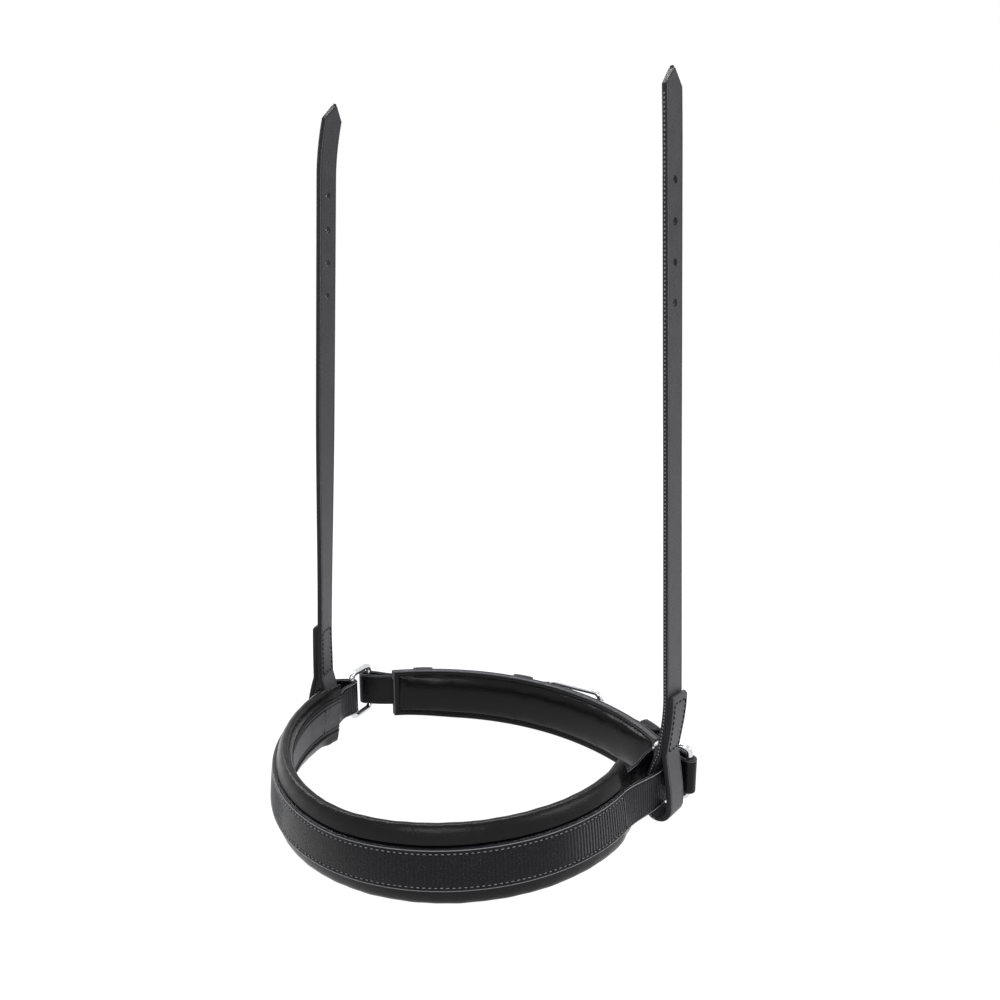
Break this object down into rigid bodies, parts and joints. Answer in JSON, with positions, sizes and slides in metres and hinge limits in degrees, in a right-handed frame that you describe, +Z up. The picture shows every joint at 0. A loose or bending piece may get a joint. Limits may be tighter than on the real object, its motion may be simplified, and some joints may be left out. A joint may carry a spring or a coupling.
{
  "type": "noseband",
  "caption": "Padded crank noseband for a horse's bridle: padded arch over the nose, ring-linked padded jaw strap with roller buckle, and looped cheek straps.",
  "frame": {"origin": "middle of the bounding box on the underside, inside the nose opening", "axes": "+Z up along the cheek straps, -Y towards the front of the horse's nose, +Y towards the jaw, +X to the picture's right"},
  "size_m": [0.2632, 0.2203, 0.4057],
  "materials": {
    "soft_leather": "black, smooth, softly shining",
    "strap_leather": "dark grey, matte, fine grain",
    "ribbed_leather": "black, glossy, finely ribbed",
    "foam": "dark, matte",
    "polished_steel": "bright, polished"
  },
  "bodies": {
    "nose": {"nose_pad_cover": "soft_leather", "nose_pad_foam": "foam", "nose_strap": "ribbed_leather", "ring_tab_left": "ribbed_leather", "ring_tab_right": "ribbed_leather"},
    "cheek_left": {"cheek_strap_left": "strap_leather"},
    "cheek_right": {"cheek_strap_right": "strap_leather"},
    "ring_l": {"ring_left": "polished_steel"},
    "ring_r": {"ring_right": "polished_steel"},
    "jaw": {"jaw_pad_backing": "soft_leather", "jaw_pad_cover": "soft_leather", "jaw_pad_foam": "foam", "buckle_strap": "soft_leather", "billet_strap": "soft_leather", "keeper_tip": "soft_leather", "keeper_buckle": "soft_leather"},
    "buckle": {"buckle_frame": "polished_steel"},
    "roller": {"buckle_roller": "polished_steel"},
    "tongue": {"buckle_tongue": "polished_steel"},
    "keeper": {"keeper_loose": "soft_leather"}
  },
  "joints": [
    {"name": "cheek_left_swing", "type": "hinge", "parent": "nose", "child": "cheek_left", "pos_m": [-0.1214, 0.022, 0.0215], "axis": [-0.9863, -0.165, 0], "range_deg": [-12, 10]},
    {"name": "cheek_right_swing", "type": "hinge", "parent": "nose", "child": "cheek_right", "pos_m": [0.1183, 0.0387, 0.0215], "axis": [0.9893, -0.1461, 0], "range_deg": [-8, 10]},
    {"name": "ring_left_pivot", "type": "hinge", "parent": "nose", "child": "ring_l", "pos_m": [-0.1097, 0.0382, 0.0215], "axis": [0, 0, 1], "range_deg": [-1.5, 1.5]},
    {"name": "jaw_pivot", "type": "hinge", "parent": "ring_l", "child": "jaw", "pos_m": [-0.11005, 0.0582, 0.0203], "axis": [0, 0, 1], "range_deg": [-1, 1]},
    {"name": "ring_right_pivot", "type": "hinge", "parent": "nose", "child": "ring_r", "pos_m": [0.1076, 0.0518, 0.0215], "axis": [0, 0, 1], "range_deg": [-6.5, 6.5]},
    {"name": "buckle_tilt", "type": "hinge", "parent": "jaw", "child": "buckle", "pos_m": [0.01263, 0.10271, 0.0203], "axis": [0, 0, 1], "range_deg": [-1, 2]},
    {"name": "roller_spin", "type": "hinge", "parent": "buckle", "child": "roller", "pos_m": [0.0496, 0.10149, 0.0203], "axis": [0, 0, 1], "continuous": true},
    {"name": "tongue_lift", "type": "hinge", "parent": "buckle", "child": "tongue", "pos_m": [0.01263, 0.10271, 0.0203], "axis": [0, 0, 1], "range_deg": [0, 3]},
    {"name": "keeper_slide", "type": "slide", "parent": "jaw", "child": "keeper", "axis": [0.8462, -0.5329, 0], "range_m": [-0.002, 0.004]}
  ],
  "couplings": [
    {"joint": "jaw_pivot", "follows": "ring_left_pivot", "ratio": -0.64305},
    {"joint": "ring_right_pivot", "follows": "ring_left_pivot", "ratio": 4.3241}
  ]
}
